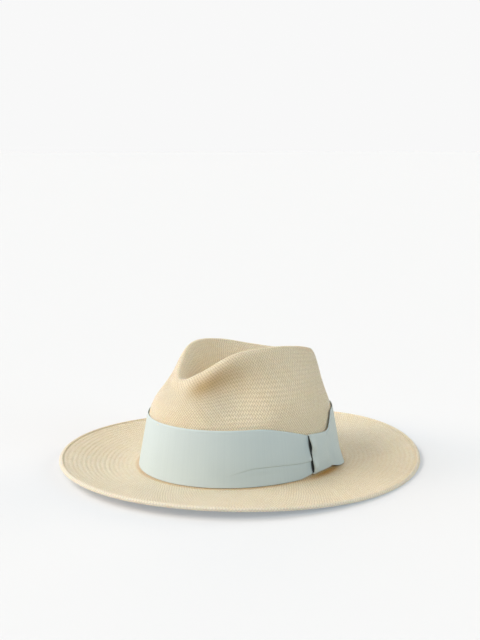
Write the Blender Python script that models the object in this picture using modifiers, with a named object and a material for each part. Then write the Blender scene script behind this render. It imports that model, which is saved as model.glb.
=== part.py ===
"""Straw sun hat: a woven straw fedora with a wide curled brim, ribbon band and sweatband.

Units are metres and +Z is up. The wearer looks along -Y and the wearer's left is +X.
The hat stands on the flat ring where the brim breaks away from the crown; the origin is
on that plane, under the middle of the brim. Angles run round the hat from the front
(0) over the wearer's left (pi / 2) to the back (pi).
"""
from math import cos, exp, pi, radians, sin

import bmesh
import bpy
from mathutils import Matrix, Vector

# Straw body
STRAW = 0.0009              # thickness of the woven sheet
BRIM_A = 0.1642             # half width of the brim
BRIM_B = 0.1790             # half length of the brim
EDGE_HEIGHT = 0.0082        # mean height of the brim's edge, with its first three waves round
EDGE_WAVES = (0.0029, 0.0028, -0.0018)
BRIM_STEPS = (1.0, 0.8, 0.6, 0.4, 0.2)   # control rings, as fractions of the brim's width
BRIM_CURL = 1.5             # power of the brim's rise from its flat ring to the edge
CROWN_Y = -0.0014           # the crown sits a little forward of the brim's middle
CROWN_A = 0.0870            # half width of the crown where it meets the brim
CROWN_B = 0.1014            # half length there
TAPER = 0.163               # how much both shrink for each metre of height
BREAK_RINGS = (0.009, 0.0045)
WALL_HEIGHTS = (0.005, 0.0207, 0.0363, 0.052)

# Crease: a ridge round a long dent, with a low nose in front and a pinch at each side of it
RIDGE_FRONT = 0.0689
RIDGE_BACK = 0.0740
RIDGE_WIDTHS = (0.0, 0.016, 0.034, 0.042, 0.0355, 0.024, 0.0)              # every 30 degrees
RIDGE_HEIGHTS = (0.0888, 0.0975, 0.1145, 0.1156, 0.1095, 0.1035, 0.1020)   # every 30 degrees
RIDGE_LEAN = (0.0107, -0.003)    # the left ridge stands higher at the back, lower in front
PINCH_RING = (0.0753, 0.0876, 0.0685, -0.0027)   # half width, half length, height, shift
# The crown's two pinches at the pinch ring, and halfway from there up to the shoulder:
# depth, angle, and spread before and after that angle
LEFT_PINCH = (
    (0.0200, radians(59), radians(19), radians(20)),
    (0.0165, radians(50), radians(16), radians(43)),
)
RIGHT_PINCH = (
    (0.0045, radians(-40), radians(24), radians(24)),
    (0.0053, radians(-40), radians(24), radians(24)),
)
SHOULDER = (0.0067, 0.0077)      # out from the ridge, and down
CREST = 0.0025                   # half width of the rounded top of the ridge
DENT_WALL = (0.0088, 0.0226)     # in from the ridge, and down
DENT_FLOOR = (-0.051, 0.045, 0.0856, 0.0064)     # front, back, height and rise to the back

# Turned edge with its wire and stitching
HEM_RADIUS = 0.0015
HEM_FLAP = 0.0040
WIRE_RADIUS = 0.0003
THREAD_RADIUS = 0.0002
HEM_STITCH_T = 0.22              # place of the hem's stitching, in rings from the edge

# Ribbon
RIBBON_THICK = 0.0008
RIBBON_LIFT = (0.0013, 0.0004)   # clear of the straw at the bottom and at the top
RIBBON_Z = (0.0019, 0.0515)
RIBBON_GATHER = (0.0029, 0.0130)    # how far the bottom and top edges draw in at the keeper
GATHER_BOTTOM = (radians(10), radians(8))    # how far that reaches forward and back of it
GATHER_TOP = (radians(33), radians(16))
RIBBON_FLARE = 0.0062            # the bottom edge stands out behind the keeper
FLARE_ANGLE = radians(128)
FLARE_SPREAD = radians(8)
KEEPER_ANGLE = radians(108.4)
KEEPER_HALF = radians(8.0)
KEEPER_THICK = 0.0010
RIBBON_SLIT = radians(1.0)

# Sweatband and what is sewn to it
SWEAT_THICK = 0.0009
SWEAT_Z = (0.0026, 0.0340)
SWEAT_SLIT = radians(0.3)
SWEAT_STITCH_Z = 0.0042
BOW_SIZE = (0.0200, 0.0080, 0.0012)
BOW_Z = 0.0100
TAB_SIZE = (0.0090, 0.0140, 0.0004)
TAB_Z = 0.0150
TAB_ANGLE = radians(164)
TACK_LENGTH = 0.003
TACKS = {"front": 0.0, "back": pi, "right": 1.5 * pi}

GAP = 0.0003                # clearance between touching pieces
COLUMNS = 48                # facets round the hat, shared by all the pieces

STRAW_COLOUR = (0.80, 0.70, 0.48)
RIBBON_COLOUR = (0.56, 0.69, 0.70)
THREAD_COLOUR = (0.82, 0.75, 0.58)
LEATHER_COLOUR = (0.55, 0.36, 0.20)


def material(name, colour, roughness, metallic=0.0):
    """A plain Principled material."""
    mat = bpy.data.materials.new(name)
    mat.use_nodes = True
    shader = mat.node_tree.nodes["Principled BSDF"]
    shader.inputs["Base Color"].default_value = (*colour, 1.0)
    shader.inputs["Roughness"].default_value = roughness
    shader.inputs["Metallic"].default_value = metallic
    return mat


def add_object(name, data, mat, collection):
    """Put a mesh or curve into the collection, with its material."""
    obj = bpy.data.objects.new(name, data)
    data.materials.append(mat)
    collection.objects.link(obj)
    return obj


def mesh_object(name, verts, faces, mat, collection):
    """An object from points and faces, with doubled points merged and smooth shading."""
    mesh = bpy.data.meshes.new(name)
    mesh.from_pydata([tuple(v) for v in verts], [], faces)
    bm = bmesh.new()
    bm.from_mesh(mesh)
    bmesh.ops.remove_doubles(bm, verts=bm.verts, dist=1e-6)
    bm.to_mesh(mesh)
    bm.free()
    mesh.shade_smooth()
    mesh.set_sharp_from_angle(angle=radians(40))
    return add_object(name, mesh, mat, collection)


def column_angles():
    """The angles of the facets' corners, once round the hat."""
    return [2 * pi * i / COLUMNS for i in range(COLUMNS)]


def ellipse_point(angle, half_width, half_length, height, shift=0.0):
    """A point of a level oval ring."""
    return Vector((half_width * sin(angle), shift - half_length * cos(angle), height))


def spaced_value(values, angle, mirror):
    """Smooth value at an angle, from values evenly spaced from front to back.

    The left half mirrors the right one: mirror is 1 for a height and -1 for a width.
    """
    turn = angle % (2 * pi)
    side = 1.0 if turn <= pi else mirror
    place = min(turn, 2 * pi - turn) / pi * (len(values) - 1)
    padded = [mirror * values[1], *values, mirror * values[-2]]
    i = min(int(place), len(values) - 2)
    before, start, end, after = padded[i:i + 4]
    u = place - i
    slope_in = (end - before) / 2
    slope_out = (after - start) / 2
    cubic = 2 * (start - end) + slope_in + slope_out
    square = 3 * (end - start) - 2 * slope_in - slope_out
    return side * (start + u * (slope_in + u * (square + u * cubic)))


def ridge_point(angle):
    """A point of the crease's ridge, the highest line round the dent."""
    half_width = spaced_value(RIDGE_WIDTHS, angle, -1)
    height = spaced_value(RIDGE_HEIGHTS, angle, 1)
    back = (1 - cos(angle)) / 2
    lean = sin(angle) * (RIDGE_LEAN[0] * back + RIDGE_LEAN[1])
    along = CROWN_Y - RIDGE_FRONT + (RIDGE_FRONT + RIDGE_BACK) * back
    return Vector((half_width, along, height + lean))


def ridge_out(angle):
    """The level direction that points away from the dent at a ridge point."""
    step = radians(2)
    along = ridge_point(angle + step) - ridge_point(angle - step)
    return Vector((along.y, -along.x, 0)).normalized()


def brim_height(angle, fraction):
    """Height of the brim's top at a fraction of its width out from the crown."""
    edge = EDGE_HEIGHT + sum(w * cos((i + 1) * angle) for i, w in enumerate(EDGE_WAVES))
    flat = BRIM_STEPS[-1]
    rise = max(0.0, (fraction - flat) / (1 - flat)) ** BRIM_CURL
    return STRAW + (edge - STRAW) * rise


def wall_point(angle, height, out=0.0):
    """A point on the crown's straight lower wall, or a little way out from it."""
    shrink = TAPER * height
    return ellipse_point(angle, CROWN_A - shrink + out, CROWN_B - shrink + out, height, CROWN_Y)


def dent(angle, depth, centre, before, after):
    """Depth of a rounded dent in the crown at one angle, with its spread on each side."""
    away = (angle - centre + pi) % (2 * pi) - pi
    spread = before if away < 0 else after
    return depth * exp(-((away / spread) ** 2))


def control_rings(angle):
    """The control points of the straw body at one angle, from the edge to the dent's floor."""
    base = wall_point(angle, STRAW)
    edge = ellipse_point(angle, BRIM_A, BRIM_B, 0.0)
    points = []
    for fraction in BRIM_STEPS:
        place = base.lerp(edge, fraction)
        place.z = brim_height(angle, fraction)
        points.append(place)
    points += [wall_point(angle, STRAW, out) for out in BREAK_RINGS]
    points.append(base)
    points += [wall_point(angle, height) for height in WALL_HEIGHTS]

    lower, upper = (dent(angle, *LEFT_PINCH[i]) + dent(angle, *RIGHT_PINCH[i]) for i in (0, 1))
    inward = Vector((-sin(angle), cos(angle), 0))
    half_width, half_length, height, shift = PINCH_RING
    ring = ellipse_point(angle, half_width, half_length, height, CROWN_Y + shift)

    ridge = ridge_point(angle)
    out = ridge_out(angle)
    shoulder = ridge + out * SHOULDER[0] - Vector((0, 0, SHOULDER[1]))
    halfway = (ring + shoulder) / 2
    front, back, floor, rise = DENT_FLOOR
    along = (1 - cos(angle)) / 2
    spine = Vector((0, CROWN_Y + front + (back - front) * along, floor + rise * along))
    wall = ridge - out * DENT_WALL[0] - Vector((0, 0, DENT_WALL[1]))
    wall.z = max(wall.z, spine.z + 0.002)
    points += [ring + lower * inward, halfway + upper * inward, shoulder]
    points += [ridge + out * CREST, ridge - out * CREST]
    points += [wall.lerp(spine, 0.4), spine]
    return points


def hat_point(angle, t):
    """A point of the straw body's outer surface: a cubic B-spline over the control rings."""
    rings = control_rings(angle)
    other_side = control_rings(-angle)
    padded = [2 * rings[0] - rings[1], *rings, other_side[-2], other_side[-3]]
    i = min(int(t), len(rings) - 1)
    u = t - i
    weights = ((1 - u) ** 3, 3 * u ** 3 - 6 * u ** 2 + 4, -3 * u ** 3 + 3 * u ** 2 + 3 * u + 1, u ** 3)
    return sum((p * w for p, w in zip(padded[i:i + 4], weights)), Vector()) / 6


def edge_frame(angle):
    """Centre of the turned edge's roll, with its outward and upward directions."""
    edge = hat_point(angle, 0.0)
    out = (edge - hat_point(angle, 0.3)).normalized()
    round_hat = hat_point(angle + 0.01, 0.0) - hat_point(angle - 0.01, 0.0)
    up = out.cross(round_hat).normalized()
    centre = edge - up * HEM_RADIUS - out * HEM_RADIUS
    return centre, out, up


def hem_rings():
    """The turned edge: a flap under the brim and a half round up to the edge's top."""
    rings = []
    turns = [radians(a) for a in (180, 144, 108, 72, 36)]
    for flap in (HEM_FLAP, HEM_FLAP / 2):
        rings.append([])
        for angle in column_angles():
            centre, out, up = edge_frame(angle)
            rings[-1].append(centre - up * HEM_RADIUS - out * flap)
    for turn in turns:
        rings.append([])
        for angle in column_angles():
            centre, out, up = edge_frame(angle)
            rings[-1].append(centre + HEM_RADIUS * (out * sin(turn) + up * cos(turn)))
    return rings


def body_places():
    """Where the straw body's facets start and end, in control rings from the edge."""
    last = len(BRIM_STEPS) + len(BREAK_RINGS) + len(WALL_HEIGHTS) + 7
    brim = [0.15, 0.9, 1.7, 2.5, 3.2, 4.0, 4.5, 5.0, 5.5, 6.0, 6.4]
    break_turn = [6.7, 7.0, 7.3, 7.6, 8.0]
    wall = [9.0, 10.0, 10.6]
    crown = [11 + 0.4 * i for i in range(int((last - 11) / 0.4) + 1)]
    return brim + break_turn + wall + crown + [last]


def build_straw_body(mat, collection):
    """Brim and crown, woven in one piece: an open outer surface made solid inwards."""
    angles = column_angles()
    rings = hem_rings() + [[hat_point(a, t) for a in angles] for t in body_places()]
    verts = [p for ring in rings for p in ring]
    faces = []
    for r in range(len(rings) - 1):
        for c in range(COLUMNS):
            d = (c + 1) % COLUMNS
            low, high = r * COLUMNS, (r + 1) * COLUMNS
            faces.append((low + c, low + d, high + d, high + c))
    obj = mesh_object("straw_body", verts, faces, mat, collection)
    solid = obj.modifiers.new("sheet", "SOLIDIFY")
    solid.thickness = STRAW
    solid.offset = -1
    return obj


def loft(name, sections, cyclic, mat, collection):
    """A solid through closed outlines of equal length, capped unless it closes on itself."""
    count = len(sections[0])
    verts = [p for section in sections for p in section]
    faces = []
    spans = len(sections) if cyclic else len(sections) - 1
    for s in range(spans):
        here, there = s * count, (s + 1) % len(sections) * count
        for i in range(count):
            j = (i + 1) % count
            faces.append((here + i, here + j, there + j, there + i))
    if not cyclic:
        faces.append(tuple(reversed(range(count))))
        last = (len(sections) - 1) * count
        faces.append(tuple(range(last, last + count)))
    obj = mesh_object(name, verts, faces, mat, collection)
    bm = bmesh.new()
    bm.from_mesh(obj.data)
    bmesh.ops.recalc_face_normals(bm, faces=bm.faces)
    bm.to_mesh(obj.data)
    bm.free()
    return obj


def ring_wire(name, points, radius, mat, collection):
    """A closed round wire through points."""
    curve = bpy.data.curves.new(name, "CURVE")
    curve.dimensions = "3D"
    curve.bevel_depth = radius
    curve.bevel_resolution = 1
    curve.use_fill_caps = True
    spline = curve.splines.new("POLY")
    spline.points.add(len(points) - 1)
    for slot, point in zip(spline.points, points):
        slot.co = (*point, 1.0)
    spline.use_cyclic_u = True
    return add_object(name, curve, mat, collection)


def build_brim_wire(mat, collection):
    """The wire that the turned edge holds."""
    centres = [edge_frame(a)[0] for a in column_angles()]
    return ring_wire("brim_wire", centres, WIRE_RADIUS, mat, collection)


def build_hem_stitching(mat, collection):
    """The thread round the brim that holds the turned edge down."""
    points = []
    for angle in column_angles():
        up = edge_frame(angle)[2]
        points.append(hat_point(angle, HEM_STITCH_T) + up * (GAP + THREAD_RADIUS))
    return ring_wire("hem_stitching", points, THREAD_RADIUS, mat, collection)


def gather(angle, reach):
    """How much the ribbon is drawn in: 1 under the keeper, 0 beyond its reach each way."""
    turn = (angle - KEEPER_ANGLE + pi) % (2 * pi) - pi
    if turn < 0:
        return max(0.0, 1 - max(0.0, -turn - KEEPER_HALF) / reach[0]) ** 1.5
    away = min(max(0.0, turn - KEEPER_HALF) / reach[1], 1.0)
    return 1 - away * away * (3 - 2 * away)


def ribbon_edges(angle):
    """Heights of the ribbon's bottom and top edges."""
    bottom = RIBBON_Z[0] + RIBBON_GATHER[0] * gather(angle, GATHER_BOTTOM)
    top = RIBBON_Z[1] - RIBBON_GATHER[1] * gather(angle, GATHER_TOP)
    return bottom, top


def strip_section(angle, heights, inner, thick):
    """Closed outline of a strip on the crown's wall; inner gives its clearance at a height."""
    inside = [wall_point(angle, z, inner(angle, z)) for z in heights]
    outside = [wall_point(angle, z, inner(angle, z) + thick) for z in reversed(heights)]
    return inside + outside


def ribbon_lift(angle, height):
    """How far the ribbon's inner face stands off the straw."""
    share = (height - RIBBON_Z[0]) / (RIBBON_Z[1] - RIBBON_Z[0])
    lift = RIBBON_LIFT[0] + (RIBBON_LIFT[1] - RIBBON_LIFT[0]) * share
    turn = (angle - FLARE_ANGLE + pi) % (2 * pi) - pi
    return lift + RIBBON_FLARE * exp(-((turn / FLARE_SPREAD) ** 2)) * (1 - share) ** 2


def slit_angles(middle, half_slit):
    """Angles from one side of a slit, over the facets' corners, to its other side."""
    start, end = middle + half_slit, middle + 2 * pi - half_slit
    corners = [a + turn for turn in (0, 2 * pi) for a in column_angles()]
    return [start] + [a for a in corners if start + 0.01 < a < end - 0.01] + [end]


def build_hat_ribbon(mat, collection):
    """The band round the crown, with its two ends meeting under the keeper."""
    keeper_ends = [KEEPER_ANGLE + KEEPER_HALF, KEEPER_ANGLE - KEEPER_HALF + 2 * pi]
    sections = []
    for angle in sorted(slit_angles(KEEPER_ANGLE, RIBBON_SLIT) + keeper_ends):
        low, high = ribbon_edges(angle)
        heights = [low + (high - low) * i / 3 for i in range(4)]
        sections.append(strip_section(angle, heights, ribbon_lift, RIBBON_THICK))
    return loft("hat_ribbon", sections, False, mat, collection)


def keeper_section(angle):
    """Outline of the keeper: a plate over the ribbon with a lip round each of its edges."""
    low, high = ribbon_edges(KEEPER_ANGLE)
    bottom, top = low - GAP, high + GAP
    skin = RIBBON_THICK + GAP

    def at(height, out):
        return wall_point(angle, height, ribbon_lift(angle, height) + out)

    return [
        at(bottom - KEEPER_THICK, skin + KEEPER_THICK),
        at(top + KEEPER_THICK, skin + KEEPER_THICK),
        at(top + KEEPER_THICK, 0.0),
        at(top, 0.0),
        at(top, skin),
        at(bottom, skin),
        at(bottom, 0.0),
        at(bottom - KEEPER_THICK, 0.0),
    ]


def build_bow_keeper(mat, collection):
    """The short piece of ribbon wrapped over the gathered band."""
    start, end = KEEPER_ANGLE - KEEPER_HALF, KEEPER_ANGLE + KEEPER_HALF
    angles = [start] + [a for a in column_angles() if start + 0.01 < a < end - 0.01] + [end]
    sections = [keeper_section(a) for a in angles]
    return loft("bow_keeper", sections, False, mat, collection)


def sweatband_offset(_angle=0.0, _height=0.0):
    """Offset of the sweatband's inner face from the crown's outer wall, the same all over."""
    return -STRAW * 1.05 - GAP - SWEAT_THICK


def build_sweatband(mat, collection):
    """The band inside the crown, open by a hair at its back seam."""
    low, high = SWEAT_Z
    heights = [low, (low + high) / 2, high]
    sections = []
    for angle in slit_angles(pi, SWEAT_SLIT):
        sections.append(strip_section(angle, heights, sweatband_offset, SWEAT_THICK))
    return loft("sweatband", sections, False, mat, collection)


def build_sweatband_stitching(mat, collection):
    """The thread that sews the sweatband to the straw, just above the brim break."""
    out = sweatband_offset() - GAP - THREAD_RADIUS
    points = [wall_point(a, SWEAT_STITCH_Z, out) for a in column_angles()]
    return ring_wire("sweatband_stitching", points, THREAD_RADIUS, mat, collection)


def place_on_sweatband(obj, angle, height, lift):
    """Stand an object flat against the sweatband's inner face, lifted clear of it."""
    point = wall_point(angle, height, sweatband_offset() - lift)
    up = (wall_point(angle, height + 0.01) - wall_point(angle, height)).normalized()
    across = (wall_point(angle + 0.01, height) - wall_point(angle - 0.01, height)).normalized()
    facing = across.cross(up)
    turn = Matrix((across, up, facing)).transposed()
    obj.matrix_world = Matrix.Translation(point) @ turn.to_4x4()


def build_sweatband_bow(mat, collection):
    """The small flat bow over the sweatband's back seam."""
    length, width, thick = BOW_SIZE
    curve = bpy.data.curves.new("sweatband_bow", "CURVE")
    curve.dimensions = "2D"
    curve.fill_mode = "BOTH"
    curve.extrude = thick / 2
    outline = [(0, 0.30), (0.35, 0.50), (0.50, 0.42), (0.50, -0.42), (0.35, -0.50), (0, -0.30)]
    outline += [(-x, y) for x, y in reversed(outline[1:-1])]
    spline = curve.splines.new("POLY")
    spline.points.add(len(outline) - 1)
    for slot, (x, y) in zip(spline.points, outline):
        slot.co = (x * length, y * width, 0.0, 1.0)
    spline.use_cyclic_u = True
    obj = add_object("sweatband_bow", curve, mat, collection)
    sagitta = (length / 2) ** 2 * CROWN_B / CROWN_A ** 2 / 2
    place_on_sweatband(obj, pi, BOW_Z, GAP + sagitta + thick / 2)
    return obj


def build_size_tab(mat, collection):
    """A blank cloth tab beside the bow."""
    width, height, thick = TAB_SIZE
    bm = bmesh.new()
    bmesh.ops.create_cube(bm, size=1.0)
    bmesh.ops.scale(bm, vec=(width, height, thick), verts=bm.verts)
    mesh = bpy.data.meshes.new("size_tab")
    bm.to_mesh(mesh)
    bm.free()
    obj = add_object("size_tab", mesh, mat, collection)
    place_on_sweatband(obj, TAB_ANGLE, TAB_Z, 2 * GAP + thick / 2)
    return obj


def build_ribbon_tack(name, angle, mat, collection):
    """One short stitch that holds the ribbon's top edge to the crown."""
    height = RIBBON_Z[1] - 0.002
    out = ribbon_lift(angle, height) + RIBBON_THICK + GAP + THREAD_RADIUS
    half = TACK_LENGTH / 2 / CROWN_B
    curve = bpy.data.curves.new(name, "CURVE")
    curve.dimensions = "3D"
    curve.bevel_depth = THREAD_RADIUS
    curve.bevel_resolution = 1
    curve.use_fill_caps = True
    spline = curve.splines.new("POLY")
    spline.points.add(2)
    for slot, step in zip(spline.points, (-1, 0, 1)):
        slot.co = (*wall_point(angle + step * half, height, out), 1.0)
    return add_object(name, curve, mat, collection)


def main():
    for old in list(bpy.data.objects):
        bpy.data.objects.remove(old)
    collection = bpy.data.collections.new("straw_sun_hat")
    bpy.context.scene.collection.children.link(collection)
    straw = material("straw", STRAW_COLOUR, 0.7)
    ribbon = material("ribbon", RIBBON_COLOUR, 0.8)
    thread = material("thread", THREAD_COLOUR, 0.8)
    leather = material("leather", LEATHER_COLOUR, 0.55)
    cloth = material("tab_cloth", (0.85, 0.84, 0.80), 0.85)
    steel = material("wire", (0.55, 0.55, 0.55), 0.35, 1.0)
    build_straw_body(straw, collection)
    build_brim_wire(steel, collection)
    build_hem_stitching(thread, collection)
    build_hat_ribbon(ribbon, collection)
    build_bow_keeper(ribbon, collection)
    build_sweatband(leather, collection)
    build_sweatband_stitching(thread, collection)
    build_sweatband_bow(ribbon, collection)
    build_size_tab(cloth, collection)
    for side, angle in TACKS.items():
        build_ribbon_tack(f"ribbon_tack_{side}", angle, thread, collection)


main()
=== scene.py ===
"""Straw sun hat: the visual model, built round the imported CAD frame.

Units are metres and +Z is up. The wearer looks along -Y and the wearer's left is +X.
Angles run round the hat from the front (0) over the wearer's left (pi / 2) to the back.
The straw body follows the CAD's own surface, a cubic B-spline over control rings. The
wire and the hem's stitches follow its edge; the rest lies on the crown's lower wall.
"""
from math import cos, pi, radians, sin, tau

import bmesh
import bpy
import numpy as np
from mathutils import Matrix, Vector


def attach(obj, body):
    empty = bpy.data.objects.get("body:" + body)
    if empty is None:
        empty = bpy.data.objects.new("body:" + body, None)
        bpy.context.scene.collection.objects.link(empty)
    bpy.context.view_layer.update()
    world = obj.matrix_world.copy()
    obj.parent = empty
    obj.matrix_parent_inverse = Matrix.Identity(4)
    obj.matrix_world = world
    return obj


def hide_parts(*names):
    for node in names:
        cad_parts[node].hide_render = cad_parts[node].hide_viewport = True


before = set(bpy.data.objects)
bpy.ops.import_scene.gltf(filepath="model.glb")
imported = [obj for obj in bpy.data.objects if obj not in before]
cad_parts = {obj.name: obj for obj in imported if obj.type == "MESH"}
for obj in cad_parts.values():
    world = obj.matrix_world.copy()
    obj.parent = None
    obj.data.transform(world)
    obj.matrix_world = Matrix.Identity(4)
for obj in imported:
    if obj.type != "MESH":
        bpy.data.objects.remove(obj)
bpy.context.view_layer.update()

# Straw body, as in the CAD
STRAW = 0.0009  # thickness of the woven sheet
BRIM_A = 0.1642  # half width of the brim
BRIM_B = 0.1790  # half length of the brim
EDGE_HEIGHT = 0.0082
EDGE_WAVES = (0.0029, 0.0028, -0.0018)
BRIM_STEPS = (1.0, 0.8, 0.6, 0.4, 0.2)
BRIM_CURL = 1.5
CROWN_Y = -0.0014
CROWN_A = 0.0870
CROWN_B = 0.1014
TAPER = 0.163
BREAK_RINGS = (0.009, 0.0045)
WALL_HEIGHTS = (0.005, 0.0207, 0.0363, 0.052)
RIDGE_FRONT = 0.0689
RIDGE_BACK = 0.0740
RIDGE_WIDTHS = (0.0, 0.016, 0.034, 0.042, 0.0355, 0.024, 0.0)
RIDGE_HEIGHTS = (0.0888, 0.0975, 0.1145, 0.1156, 0.1095, 0.1035, 0.1020)
RIDGE_LEAN = (0.0107, -0.003)
PINCH_RING = (0.0753, 0.0876, 0.0685, -0.0027)
LEFT_PINCH = (
    (0.0200, radians(59), radians(19), radians(20)),
    (0.0165, radians(50), radians(16), radians(43)),
)
RIGHT_PINCH = (
    (0.0045, radians(-40), radians(24), radians(24)),
    (0.0053, radians(-40), radians(24), radians(24)),
)
SHOULDER = (0.0067, 0.0077)
CREST = 0.0025
DENT_WALL = (0.0088, 0.0226)
DENT_FLOOR = (-0.051, 0.045, 0.0856, 0.0064)
HEM_RADIUS = 0.0015
HEM_FLAP = 0.0040

# Ribbon, keeper, sweatband and trims, as in the CAD
RIBBON_THICK = 0.0008
RIBBON_LIFT = (0.0013, 0.0004)
RIBBON_Z = (0.0019, 0.0515)
RIBBON_GATHER = (0.0029, 0.0130)
GATHER_BOTTOM = (radians(10), radians(8))
GATHER_TOP = (radians(33), radians(16))
RIBBON_FLARE = 0.0062
FLARE_ANGLE = radians(128)
FLARE_SPREAD = radians(8)
KEEPER_ANGLE = radians(108.4)
KEEPER_HALF = radians(8.0)
RIBBON_SLIT = radians(1.0)
SWEAT_THICK = 0.0009
SWEAT_Z = (0.0026, 0.0340)
SWEAT_STITCH_Z = 0.0042
GAP = 0.0003
BOW_SIZE = (0.0200, 0.0080, 0.0012)
BOW_Z = 0.0100
TAB_SIZE = (0.0090, 0.0140, 0.0004)
TAB_Z = 0.0150
TAB_ANGLE = radians(164)
TACK_LENGTH = 0.003
TACKS = {"front": 0.0, "back": pi, "right": 1.5 * pi}
WIRE_RADIUS = 0.0003

# Weave: diamonds of two crossing pairs of strands, in rows round the hat
STRAND_PITCH = 0.0026  # width of a diamond
BRIM_ROW = 0.0044  # height of a diamond on the brim, and the rings' pitch
CROWN_ROW = 0.0033  # height of a diamond on the crown
RING_RELIEF = 0.00025  # how far the brim's woven rings stand out
COLUMNS = 240
BRIM_ROWS = 17  # weave rows from the edge to the crown
LAST_RING = 18.0  # the control ring along the dent's floor
HEM_SEAM = 0.0040  # the hem's sewing, in from the edge
HEM_DOUBLED = 0.00035  # how far the doubled edge stands proud
HEM_GROOVE = (0.00028, 0.00045)  # the sewn groove's depth and half width
FLAP_STEPS = 5  # rings of points across the flap under the edge
ROLL_STEPS = 11  # rings of points round the edge's roll
INNER_RELIEF = 0.4  # share of the relief on the inner face

# Painted shade on the straw, tan in the pinches and dent, brown below the keeper and ribbon:
# strength, angle and reach each way; then ring and half width
SHADE_LEFT_PINCH = (1.0, radians(33), radians(12), radians(32))
SHADE_RIGHT_PINCH = (0.5, radians(-40), radians(20), radians(20))
SHADE_PINCH_RING = (13.5, 0.8)
SHADE_DENT_RINGS = (16.0, 17.3)  # rings between which the dent's painted shade grows
SHADE_BY_KEEPER = (1.0, radians(112), radians(18), radians(20))
SHADE_KEEPER_RING = (6.3, 1.2)
SHADOW_LINE_BELOW_RIBBON = (6.4, 0.45)  # a thin painted shadow line below the ribbon
SHADE_THROUGH = 0.3  # share of the painted brown shade on the underside

# Folds in the ribbon: depth, height over the pleat, and half width
PLEAT_Z = 0.0178
PLEAT_LAYER = 0.00060  # step up to the pleat's upper layer
TUCK = (-0.00030, -0.0006, 0.0009)
LOWER_CREASE = (-0.00022, -0.0062, 0.0016)
UPPER_CREASE = (-0.00016, 0.0105, 0.0022)
PLEAT_END = (0.045, 0.092)  # where the pleat fades, ahead of the keeper

# Cloth and trims
SWEAT_INSIDE = -STRAW * 1.05 - GAP - SWEAT_THICK
FREE_GAP = 0.0011  # how far the ribbon's top edge stands free behind the keeper
KEEPER_CLOTH = 0.0007
KEEPER_OVER = (0.0010, 0.0009)  # its reach past the ribbon's two edges
KEEPER_OUT = 0.0021  # how far its face stands off the ribbon's inner face
KEEPER_CORNER = 0.0010
KEEPER_MOUTH = 0.0030  # how far its front edge gapes
BOW_CLOTH = 0.00026
THREAD_RADIUS = 0.00022
THREAD_SIDES = 6
HEM_STITCHES = (288, 0.66, 0.0004)  # count, share of the step sewn, depth of the ends
SWEAT_STITCHES = (144, 0.62, 0.0003)
RIB_PITCH = 0.00065
THREAD_PITCH = 0.00035
PLY_PITCH = 0.0005
TAPE_PITCH = 0.0004

# Colours, as linear light
STRAW_LIGHT = (0.90, 0.80, 0.59)
STRAW_TAN = (0.70, 0.555, 0.325)
STRAW_EDGE = (0.80, 0.74, 0.61)
# painted shade in the gaps between the strands
STRAW_GAP_SHADE = (0.30, 0.18, 0.07)
# painted shade, tan, in the pinches and the dent
STRAW_PAINTED_TAN = (0.60, 0.42, 0.20)
# painted shade, brown, below the keeper and in a line below the ribbon
STRAW_PAINTED_BROWN = (0.54, 0.25, 0.005)
RIBBON_LIGHT = (0.55, 0.62, 0.60)
RIBBON_DARK = (0.435, 0.51, 0.51)
# painted shade in the slit under the keeper's front edge
RIBBON_SLIT_SHADE = (0.03, 0.035, 0.035)
LEATHER_LIGHT = (0.56, 0.38, 0.22)
LEATHER_DARK = (0.36, 0.21, 0.10)
THREAD_LIGHT = (0.80, 0.70, 0.48)
THREAD_DARK = (0.50, 0.38, 0.20)
TAPE_LIGHT = (0.82, 0.80, 0.74)
TAPE_DARK = (0.55, 0.53, 0.47)
WIRE_LIGHT = (0.62, 0.62, 0.60)
WIRE_DARK = (0.42, 0.42, 0.41)
FLOOR_COLOUR = (0.605, 0.577, 0.537)
FLOOR_GLOW = (0.20, 0.235, 0.28)

# Light: each lamp's azimuth, elevation and spread in degrees, its strength and colour
LIGHTS = (
    ("key", -36, 15, 30, 1.38, (1.0, 0.87, 0.80)),
    ("key_high", -36, 45, 30, 1.42, (0.79, 0.86, 0.96)),
    ("front", -6, 40, 30, 0.99, (1.0, 0.86, 0.65)),
    ("facing", 54, 40, 30, 1.07, (0.85, 0.90, 1.0)),
    ("back", -66, 35, 30, 0.64, (0.65, 0.84, 1.0)),
    ("back_low", -96, 25, 30, 0.34, (0.78, 0.88, 1.0)),
    ("side", 114, 25, 30, 0.70, (0.60, 0.84, 1.0)),
    ("far_side", 174, 20, 30, 0.86, (1.0, 0.87, 0.67)),
    ("far_back", 234, 15, 30, 0.57, (1.0, 0.83, 0.63)),
    ("top", 0, 89, 110, 0.35, (1.0, 0.85, 0.70)),
)
SURROUND_COLOUR = (0.06, 0.06, 0.06)
SEEN_COLOUR = (0.94, 0.94, 0.94)
FLOOR_REACH = 60.0

# Camera: turn and rise, distance, the aim's shift sideways and height, and lens
CAMERA_TURN = (radians(54.07), radians(9.765))
CAMERA_AWAY = 0.9606
CAMERA_AIM = (-0.0012, 0.1373)
CAMERA_LENS = 56.43


# ---- the hat's surface

def oval(angle, half_width, half_length, height, shift=0.0):
    """Points of a level oval ring, one for each angle."""
    across = half_width * np.sin(angle)
    along = shift - half_length * np.cos(angle)
    return np.stack([across, along, height + 0 * angle], axis=-1)


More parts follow.
